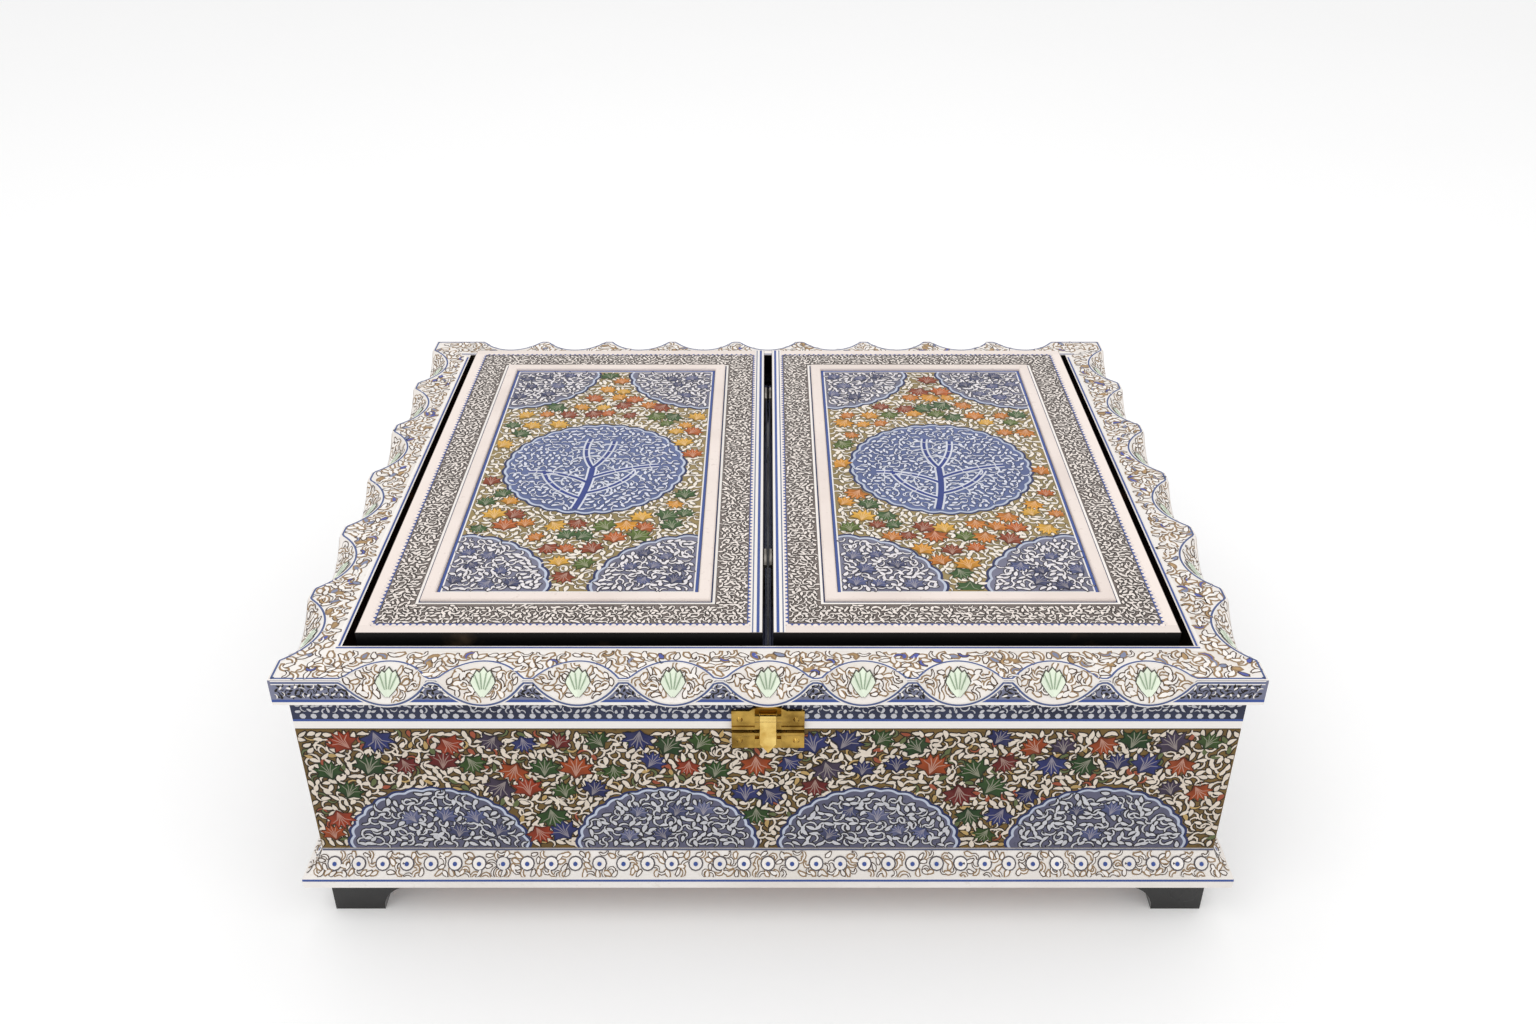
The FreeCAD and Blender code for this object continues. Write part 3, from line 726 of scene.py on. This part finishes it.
def leaf_edges(lines, side, bounds, ring):
    """The beaded edge, the stripes beside the spine and the lines round the moulding."""
    u0, u1, v0, v1 = shrunk(bounds, LEAF_INSET)
    frame_line(lines, (u0, u1, v0, v1), LEAF_EDGE, PINK, layer=1)
    a, b, c, d = inner = shrunk(bounds, LEAF_EDGE)
    frame_line(lines, inner, 1.2, BLUE, layer=1)
    for start, end in (((a, c), (b, c)), ((a, d), (b, d)), ((a, c), (a, d)), ((b, c), (b, d))):
        bead_row(lines, start, end, pitch=2.5, radius=1.0, color=PINK, layer=2)
    spine, inward = (u1, -1) if side == "left" else (u0, 1)
    for near, far, color, layer in SPINE_STRIPES:
        low, high = sorted((spine + inward * near, spine + inward * far))
        block(lines, (low, high, v0, v1), color, layer)
    frame_line(lines, shrunk(ring, -1.6), 1.0, WHITE, layer=2)
    frame_line(lines, shrunk(ring, -0.6), 0.6, NAVY, layer=3)


print("tree and edges ready")

# %% Paint the leaves
MOULDING_WIDTH = 5.0
MEDALLION_SHARE, CORNER_SHARE = 0.405, 0.41   # radii as shares of the field's width
CORNER_INSET = 2.0
TREE_ROOM = 2.4                               # petals keep this far from the tree
# Petal and rim colours of each field.
GOLD_PETALS = rgb(0.95, 0.91, 0.86), rgb(0.22, 0.19, 0.11)
SLATE_PETALS = rgb(0.91, 0.89, 0.90), rgb(0.16, 0.15, 0.20)
BLUE_PETALS = rgb(0.86, 0.87, 0.92), rgb(0.16, 0.20, 0.36)
BORDER_PETALS = rgb(0.94, 0.90, 0.87), INK


def paint_leaf(side):
    body = side + "_leaf"
    low, high = box_mm(body)
    ring_low, ring_high = box_mm(body + "_moulding")
    top = high[2] * MM

    def sheet(part, material=None):
        return Sheet(body + part, body, "leaf_paint", lambda u, v, lift: (u, v, top + lift),
                     material)

    gold, blue = sheet("_ground", gold_field), sheet("_medallion", blue_field)
    slate, lines = sheet("_corners", slate_field), sheet("_lines")
    petals, sprays = sheet("_petals"), sheet("_sprays")
    bounds = (low[0], high[0], low[1], high[1])
    ring = (ring_low[0], ring_high[0], ring_low[1], ring_high[1])
    leaf_edges(lines, side, bounds, ring)

    f0, f1, g0, g1 = inner = shrunk(ring, MOULDING_WIDTH)
    block(gold, inner, CREAM, layer=1)
    frame_line(lines, shrunk(inner, 0.2), 1.2, BLUE, layer=3)
    frame_line(lines, shrunk(inner, 1.4), 0.6, WHITE, layer=3)
    middle = ((f0 + f1) / 2, (g0 + g1) / 2)
    radius, corner = (f1 - f0) * MEDALLION_SHARE, (f1 - f0) * CORNER_SHARE
    a, b, c, d = shrunk(inner, CORNER_INSET)
    corners = [(a, c), (b, c), (b, d), (a, d)]
    for quarter, at in enumerate(corners):
        start, end = quarter * math.pi / 2, (quarter + 1) * math.pi / 2
        medallion(lines, slate, at, corner, 28, start, end)
    medallion(lines, blue, middle, radius, 30)
    foot = (middle[0] - 5.0, middle[1] - radius * 0.90)
    tree = paint_tree(lines, foot, radius * 0.92)

    def away(u, v):
        return math.hypot(u - middle[0], v - middle[1])

    def beside(u, v):
        return min(math.hypot(u - cu, v - cv) for cu, cv in corners)

    def off_tree(u, v):
        return min(math.hypot(u - tu, v - tv) for tu, tv in tree) > TREE_ROOM

    def in_border(u, v):
        a, b, c, d = shrunk(ring, -2.5)
        return not (a < u < b and c < v < d)

    def clear(u, v):
        a, b, c, d = shrunk(inner, 5)
        outside = away(u, v) > radius + 3.2 and beside(u, v) > corner + 3.4
        return outside and a < u < b and c < v < d

    field = shrunk(inner, 3.0)
    spots = scatter(field, 3.1, lambda u, v: away(u, v) > radius and beside(u, v) > corner)
    petal_field(petals, spots, 3.3, *GOLD_PETALS, layer=1)
    spots = scatter(field, 2.8, lambda u, v: beside(u, v) < corner - 3.4)
    petal_field(petals, spots, 3.0, *SLATE_PETALS, layer=6, rim=0.4)
    spots = scatter(field, 3.0, lambda u, v: away(u, v) < radius - 3.2 and off_tree(u, v))
    petal_field(petals, spots, 2.7, *BLUE_PETALS, layer=6)
    border = shrunk(bounds, LEAF_EDGE)
    spots = scatter(shrunk(border, 1.6), 2.05, in_border)
    petal_field(petals, spots, 2.2, *BORDER_PETALS, layer=1, rim=0.32, limits=shrunk(border, 1.4))

    spots = scatter(field, 12.0, lambda u, v: beside(u, v) < corner - 7.5)
    leaf_spray(sprays, spots, 3.8, DUSK_LEAVES, 8, field)
    leaf_spray(sprays, scatter(inner, 10.4, clear), 4.7, GOLD_LEAVES, 4, field)
    for painted in (gold, blue, slate, lines, petals, sprays):
        painted.build()


for side in ("left", "right"):
    paint_leaf(side)

# %% [markdown]
# ## The walls
# The olive walls are the busiest part: cream petals all over, sprays of red, green and navy leaves,
# and half-round slate medallions standing along the foot. One function paints all four walls, and
# place() turns it to each side.

# %% Paint the walls
LONG_CENTRES = (-129.0, -39.5, 39.5, 129.0)
SHORT_CENTRES = (-90.0, 0.0, 90.0)
# Half the length of each wall, the places of its medallions, and its place function.
WALL_FACES = {
    "front": (HALF_X, LONG_CENTRES, lambda u, v, lift: (u, -HALF_Y * MM - lift, v)),
    "back": (HALF_X, LONG_CENTRES, lambda u, v, lift: (-u, HALF_Y * MM + lift, v)),
    "left": (HALF_Y, SHORT_CENTRES, lambda u, v, lift: (-HALF_X * MM - lift, -u, v)),
    "right": (HALF_Y, SHORT_CENTRES, lambda u, v, lift: (HALF_X * MM + lift, u, v)),
}
FIELD_LOW = PLINTH_HIGH[2] + 0.3
FIELD_HIGH = WALL_HIGH[2] - 0.3
MEDALLION_RADIUS, MEDALLION_SQUASH = 36.0, 0.88
HASP_HALF, HASP_DROP = 15, 12
HINGE_AT, HINGE_HALF, HINGE_DROP = 112, 20, 13
BARK = rgb(0.14, 0.10, 0.05)
DUSK_RIM = rgb(0.12, 0.11, 0.14)
WALL_ACCENTS = (rgb(0.72, 0.60, 0.38), rgb(0.36, 0.40, 0.24), rgb(0.60, 0.30, 0.20))


def metal_near(name, u, v):
    """True where a hasp or hinge plate covers the wall."""
    if name == "front":
        return abs(u) < HASP_HALF and v > FIELD_HIGH - HASP_DROP
    at_hinge = abs(abs(u) - HINGE_AT) < HINGE_HALF and v > FIELD_HIGH - HINGE_DROP
    return name == "back" and at_hinge


def paint_wall(name):
    half, centres, place = WALL_FACES[name]

    def sheet(part, material=None):
        return Sheet(name + part, "base", "wall_paint", place, material)

    def away(u, v):
        """How far a place lies outside the nearest medallion."""
        rise = (v - FIELD_LOW) / MEDALLION_SQUASH
        return min(math.hypot(u - centre, rise) for centre in centres) - MEDALLION_RADIUS

    def clear(u, v):
        inside = abs(u) < half - 5 and FIELD_LOW + 4 < v < FIELD_HIGH - 4
        return away(u, v) > 4.0 and inside and not metal_near(name, u, v)

    lines, field = sheet("_wall_lines"), sheet("_wall_medallions", dusk_field)
    petals, sprays = sheet("_wall_petals"), sheet("_wall_sprays")
    for centre in centres:
        medallion(lines, field, (centre, FIELD_LOW), MEDALLION_RADIUS, 30, 0.0, math.pi,
                  MEDALLION_SQUASH)
    limits = (-half, half, FIELD_LOW, FIELD_HIGH)
    area = (-half + 0.6, half - 0.6, FIELD_LOW + 1.0, FIELD_HIGH - 1.0)
    spots = scatter(area, 3.0, lambda u, v: away(u, v) > 0)
    petal_field(petals, spots, 3.5, CREAM, BARK, layer=0, rim=0.5, accents=WALL_ACCENTS,
                limits=(-half + 0.3, half - 0.3, FIELD_LOW, FIELD_HIGH))
    spots = scatter(area, 3.1, lambda u, v: away(u, v) < -3.4)
    petal_field(petals, spots, 3.2, PALE, DUSK_RIM, layer=6, rim=0.46, limits=limits)
    spots = scatter(area, 13.0, lambda u, v: away(u, v) < -8 and v > FIELD_LOW + 6)
    leaf_spray(sprays, spots, 4.0, DUSK_LEAVES, 8, limits)
    leaf_spray(sprays, scatter(limits, 13.6, clear), 5.4, WALL_LEAVES, 4, limits)
    for painted in (field, lines, petals, sprays):
        painted.build()


for name in WALL_FACES:
    paint_wall(name)

# %% [markdown]
# ## The band
# The edge of the deck is a navy strip with a row of pale half-flowers, small petals above them and
# a row of beads along the top, where the frame sits down on it.

# %% Paint the band
def paint_band(name):
    half, _, place = WALL_FACES[name]
    sheet = Sheet(name + "_band_beads", "deck", "band_paint", place)
    low, high = BAND_LOW[2], BAND_HIGH[2]
    # Each row: inset at its ends, height, pitch, radius, colour and layer.
    for inset, v, pitch, radius, color, layer in ((1.2, high - 1.2, 2.4, 0.95, PINK, 4),
                                                  (2, low + 5.9, 4.0, 1.2, PALE, 1)):
        bead_row(sheet, (-half + inset, v), (half - inset, v), pitch, radius, color, layer)
    strip = (-half + 1.5, half - 1.5, low + 7.2, high - 2.6)
    petal_field(sheet, scatter(strip, 2.4), 2.2, PALE, None, limits=strip)
    sheet.build()


for name in WALL_FACES:
    paint_band(name)

# %% [markdown]
# ## The scalloped frame
# Gouges across the outer corner of each rail leave a row of eye-shaped hollows. The painter
# followed them: a blue line in a white one runs round every eye, a pale flower of five petals
# stands in it, and the hills between the eyes are dark. The depth of the gouge at a place along
# the rail gives the line its waves.

# %% The gouges and the flower in them
ROOT2 = math.sqrt(2)
FRAME_X, FRAME_Y, FRAME_TOP = RAIL_HIGH[0], -RAIL_LOW[1], RAIL_HIGH[2]
WINDOW_SIDE = box_mm("frame_right_rail")[0][0]
WINDOW_FRONT = -RAIL_HIGH[1]
WINDOW_BACK = box_mm("frame_back_rail")[0][1]
CUT = 7.4
# Count, pitch and width of the eyes, half the rail's length, its outer face and its inner one.
RAILS = {
    "front": (9, 34.6, 31.0, FRAME_X, FRAME_Y, WINDOW_FRONT),
    "back": (9, 34.6, 31.0, FRAME_X, FRAME_Y, WINDOW_BACK),
    "left": (6, 46.6, 40.0, FRAME_Y, FRAME_X, WINDOW_SIDE),
    "right": (6, 46.6, 40.0, FRAME_Y, FRAME_X, WINDOW_SIDE),
}
SHELL_PALE = rgb(0.91, 0.95, 0.87)
SHELL_RIM = rgb(0.34, 0.33, 0.30)
SHELL_VEIN = rgb(0.60, 0.68, 0.57)
SHELL_PETAL = [(0.0, -0.06), (0.40, -0.12), (0.82, -0.13), (1.0, 0.0), (0.82, 0.13), (0.40, 0.12),
               (0.0, 0.06)]
# Turn and reach of the five petals, and the turns of the veins between them.
SHELL_FAN = ((-0.50, 0.76), (0.50, 0.76), (-0.26, 0.92), (0.26, 0.92), (0.0, 1.0))
SHELL_VEINS = (-0.38, -0.13, 0.13, 0.38)


def hollow_cut(along, count, pitch, width):
    """Depth of the gouge across the outer corner at this place along a rail."""
    index = min(count - 1, max(0, round(along / pitch + (count - 1) / 2)))
    off = abs(along - (index - (count - 1) / 2) * pitch)
    radius = (width * width / 4 + CUT * CUT) / (2 * CUT)
    if off >= width / 2:
        return 0.0
    return math.sqrt(max(0.0, radius * radius - off * off)) - radius + CUT


def rail_point(name, along, out, z):
    """Turns a place on a rail into box coordinates."""
    return {"front": (along, -out, z), "right": (out, along, z),
            "back": (-along, out, z), "left": (-out, -along, z)}[name]


def shell(sheet, at, size, layer=6):
    """A pale flower of five upright petals, like a half-open hand."""
    upright = math.pi / 2
    foot = (at[0], at[1] - size * 0.48)
    for turn, reach in SHELL_FAN:
        for grow, tone, step in ((0.7, SHELL_RIM, 0), (0.0, SHELL_PALE, 5)):
            outline = [(u * (size * reach + grow), v * (size + 2.5 * grow) * 1.1)
                       for u, v in SHELL_PETAL]
            sheet.fill(turned(outline, upright + turn, foot), tone, layer + step)
    for turn in SHELL_VEINS:
        path = [(0.25 * size, 0), (0.55 * size, 0), (0.84 * size, 0)]
        stroke(sheet, turned(path, upright + turn, foot), 0.5, SHELL_VEIN, layer + 13)


print("gouges and flower ready")

# %% Paint the frame
EYE_LINE = rgb(0.32, 0.38, 0.56)
FLAT_ACCENTS = (rgb(0.33, 0.37, 0.66), rgb(0.70, 0.57, 0.40), rgb(0.52, 0.55, 0.66))
LINE_STEPS = 220
SHELL_SIZE = 10.4
SHELL_ROOM = (3.8, 5.4)   # half the width and height that the petals leave to the flower
HOLLOW_EASE = 0.08        # mm; polygons that span the hollow start this much higher


def paint_rail(name):
    count, pitch, width, half, face, window = RAILS[name]

    def cut(u):
        return hollow_cut(u, count, pitch, width)

    def rim(u):
        """Where the flat top ends at this place along the rail."""
        return face - cut(u) * ROOT2

    def on_top(u, v, lift):
        return rail_point(name, u, min(v, rim(u / MM) * MM), FRAME_TOP * MM + lift)

    def on_face(u, v, lift):
        return rail_point(name, u, face * MM + lift, v)

    def in_hollow(u, v, lift):
        depth = cut(u / MM) * MM
        v = min(max(v, -depth), depth)
        diagonal = (depth - lift - HOLLOW_EASE * MM) / ROOT2
        out, z = face * MM - diagonal - v / ROOT2, FRAME_TOP * MM - diagonal + v / ROOT2
        return rail_point(name, u, out, z)

    def sheet(part, place):
        return Sheet(name + part, "frame", "frame_paint", place)

    flat, side = sheet("_rail_lines", on_top), sheet("_face_lines", on_face)
    eyes = sheet("_hollow_flowers", in_hollow)
    steps = [-half + 1.0 + (2 * half - 2.0) * i / LINE_STEPS for i in range(LINE_STEPS + 1)]
    drop = [max(1.1, cut(u) * ROOT2 + 0.9) for u in steps]
    for line_width, color, layer in ((1.9, WHITE, 1), (0.8, EYE_LINE, 2)):
        even_line(flat, [(u, face - d) for u, d in zip(steps, drop)], line_width, color, layer)
        even_line(side, [(u, FRAME_TOP - d) for u, d in zip(steps, drop)], line_width, color, layer)
    reach = half - face
    for inset, line_width, color, layer in ((1.0, 0.8, BLUE, 2), (2.4, 1.2, WHITE, 1)):
        end, v = window + reach + inset, window + inset
        even_line(flat, [(-end, v), (end, v)], line_width, color, layer)
    spots = scatter((-half, half, window + 4.4, face - 2.0), 3.1,
                    lambda u, v: v < rim(u) - 2.8 and abs(u) < v + reach - 2.0)
    petal_field(flat, spots[::2], 3.4, WHITE, TAN, rim=0.75, accents=FLAT_ACCENTS)
    petal_field(flat, spots[1::2], 3.4, WHITE, UMBER, rim=0.45, accents=FLAT_ACCENTS)

    def on_hill(u, v):
        return v < FRAME_TOP - cut(u) * ROOT2 - 2.2

    foot = RAIL_LOW[2]
    strip = (-half + 2, half - 2, foot + 3.0, FRAME_TOP - 2.0)
    limits = (-half + 0.5, half - 0.5, foot + 2.7, FRAME_TOP - 1.6)
    petal_field(side, scatter(strip, 1.9, on_hill), 1.9, INK, None, layer=1, limits=limits)
    petal_field(side, scatter(strip, 2.9, on_hill), 1.8, WHITE, None, layer=2, limits=limits)

    for i in range(count):
        centre = (i - (count - 1) / 2) * pitch

        def in_eye(u, v):
            off_shell = math.hypot((u - centre) / SHELL_ROOM[0], v / SHELL_ROOM[1]) > 1.0
            return abs(v) < cut(u) - 1.3 and off_shell

        area = (centre - width / 2, centre + width / 2, -CUT, CUT)
        spots = scatter(area, 2.6, in_eye)
        petal_field(eyes, spots[::2], 2.8, WHITE, TAN, gap=3, rim=0.5)
        petal_field(eyes, spots[1::2], 2.8, WHITE, UMBER, gap=3, rim=0.4)
        shell(eyes, (centre, 0), SHELL_SIZE)
    for painted in (flat, side, eyes):
        painted.build()


for name in RAILS:
    paint_rail(name)

# %% [markdown]
# ## The plinth and the spine
# The plinth is a hollow moulding. Rings with a blue dot march along it, so its sheet bends with the
# hollow. Larger polygons bridge over the hollow more than small ones, so the layers lie further
# apart here. The two strips of the spine are flat, with petals inside a navy line.

# %% Paint the plinth
HOLLOW_SAG = 1.4
SAG_EASE = 0.15
LIP = 4.5
RING_PITCH, RING_ROOM = 9.6, 3.7
RING_GREY = rgb(0.36, 0.34, 0.36)
CROWN_LINE = rgb(0.36, 0.38, 0.48)


def paint_plinth(name):
    half, _, place = WALL_FACES[name]
    reach = -PLINTH_LOW[1] - HALF_Y
    edge, crown = PLINTH_LOW[2] + LIP, PLINTH_HIGH[2]
    lean = math.hypot(reach, crown - edge)
    slope = (-reach / lean, (crown - edge) / lean)

    def on_hollow(u, v, lift):
        t = v / MM / lean
        dip = (HOLLOW_SAG * 4 * t * (1 - t) - SAG_EASE) * MM - lift
        z = edge * MM + slope[1] * v + slope[0] * dip
        return place(u, z, reach * MM + slope[0] * v - slope[1] * dip)

    sheet = Sheet(name + "_plinth_rings", "base", "plinth_paint", on_hollow)
    count = round(2 * half / RING_PITCH)
    pitch = 2 * half / count
    middle = lean * 0.5
    for i in range(count):
        u = -half + (i + 0.5) * pitch
        sheet.dot((u, middle), 3.0, RING_GREY, layer=2, sides=12)
        sheet.dot((u, middle), 2.45, WHITE, layer=9, sides=12)
        sheet.dot((u, middle - 0.2), 0.9, BLUE, layer=19)

    def inside(u, v):
        """On the mitred moulding and off its rings."""
        off = math.hypot((u + half) % pitch - pitch / 2, v - middle)
        off_ring = abs(u) > half or off > RING_ROOM
        return abs(u) < half + reach * (1 - v / lean) - 2.0 and off_ring

    spots = scatter((-half - reach, half + reach, 1.4, lean - 1.8), 2.3, inside)
    limits = (-half - reach, half + reach, 0.9, lean - 1.1)
    petal_field(sheet, spots[::2], 2.5, WHITE, TAN, gap=5, rim=0.5, limits=limits)
    petal_field(sheet, spots[1::2], 2.5, WHITE, UMBER, gap=5, rim=0.36, limits=limits)
    even_line(sheet, [(-half, lean - 0.6), (half, lean - 0.6)], 0.7, CROWN_LINE, 2)
    sheet.build()


for name in WALL_FACES:
    paint_plinth(name)

# %% Paint the spine
SPINE_PETALS = rgb(0.93, 0.90, 0.88), rgb(0.22, 0.22, 0.28)


def paint_spine(side):
    low, high = box_mm(side + "_spine_strip")
    top = high[2] * MM
    sheet = Sheet(side + "_spine_lines", "deck", "spine_paint",
                  lambda u, v, lift: (u, v, top + lift))
    bounds = (low[0], high[0], low[1], high[1])
    frame_line(sheet, shrunk(bounds, 0.8), 0.6, NAVY)
    inner = shrunk(bounds, 2.2)
    petal_field(sheet, scatter(inner, 2.9), 3.1, *SPINE_PETALS, limits=inner)
    sheet.build()


for side in ("left", "right"):
    paint_spine(side)

# %% [markdown]
# ## Studio
# The picture has a white ground and soft light from all round. A pale floor under an even sky
# gives that, and three broad lamps model the hollows. More light would bleach the paint, so the
# floor only glows a little to the rays that look at it. The camera looks from the front and above.

# %% Floor
FLOOR_HALF = 12.0
FLOOR_GLOW = 0.14
FULL_WHITE = (1.0, 1.0, 1.0, 1.0)


def seen_rays(tree):
    """1 for rays that look at a thing, straight or by way of metal or glass, 0 for its light."""
    rays = tree.nodes.new("ShaderNodeLightPath").outputs
    seen = rays["Is Camera Ray"]
    for kind in ("Is Glossy Ray", "Is Transmission Ray"):
        either = tree.nodes.new("ShaderNodeMath")
        either.operation = "MAXIMUM"
        tree.links.new(seen, either.inputs[0])
        tree.links.new(rays[kind], either.inputs[1])
        seen = either.outputs[0]
    return seen


floor = bpy.data.meshes.new("floor")
bm = bmesh.new()
bmesh.ops.create_grid(bm, x_segments=1, y_segments=1, size=FLOOR_HALF)
bm.to_mesh(floor)
bm.free()
floor_piece = bpy.data.objects.new("floor", floor)
bpy.context.scene.collection.objects.link(floor_piece)
g = Graph("floor")
pale = g.mix(g.noise(3.0), rgb(0.97, 0.97, 0.97), rgb(0.96, 0.96, 0.96))
floor.materials.append(g.finish(pale, roughness=0.7, bump=g.noise(40.0), strength=0.02))
g.feed(g.shader.inputs["Emission Color"], FULL_WHITE)
glow = g.math("MULTIPLY", seen_rays(g.tree), FLOOR_GLOW)
g.feed(g.shader.inputs["Emission Strength"], glow)
print("floor laid")

# %% Sky and lamps
SKY, SKY_SEEN = 0.80, 0.92
# Name, place, size and power of each lamp; all look at the middle of the box.
LAMPS = (("key", (-0.7, -0.7, 1.3), 0.9, 3.6),
         ("fill", (0.9, -0.5, 1.0), 0.9, 1.6),
         ("top", (0.0, 0.5, 1.4), 1.2, 2.2))
LAMP_TARGET = Vector((0, 0, 0.06))
world = bpy.data.worlds.new("studio")
bpy.context.scene.world = world
world.use_nodes = True
sky_tree = world.node_tree
background = sky_tree.nodes["Background"]
background.inputs["Color"].default_value = FULL_WHITE
bright = sky_tree.nodes.new("ShaderNodeMapRange")
bright.inputs["To Min"].default_value = SKY
bright.inputs["To Max"].default_value = SKY_SEEN
sky_tree.links.new(seen_rays(sky_tree), bright.inputs["Value"])
sky_tree.links.new(bright.outputs[0], background.inputs["Strength"])
for name, place, size, power in LAMPS:
    lamp = bpy.data.lights.new(name, "AREA")
    lamp.size = size
    lamp.energy = power
    holder = bpy.data.objects.new(name, lamp)
    holder.location = place
    holder.rotation_euler = (LAMP_TARGET - Vector(place)).to_track_quat("-Z", "Y").to_euler()
    bpy.context.scene.collection.objects.link(holder)
print("sky and", len(LAMPS), "lamps")

# %% Camera
CAMERA_AT = (0.0, -0.536, 0.4265)
CAMERA_DOWN = 31.2    # degrees below level
lens = bpy.data.cameras.new("camera")
lens.lens = 32.0
lens.sensor_width = 36.0
camera = bpy.data.objects.new("camera", lens)
camera.location = CAMERA_AT
camera.rotation_euler = (math.radians(90 - CAMERA_DOWN), 0.0, 0.0)
bpy.context.scene.collection.objects.link(camera)
bpy.context.scene.camera = camera
bpy.context.scene.view_settings.view_transform = "Standard"
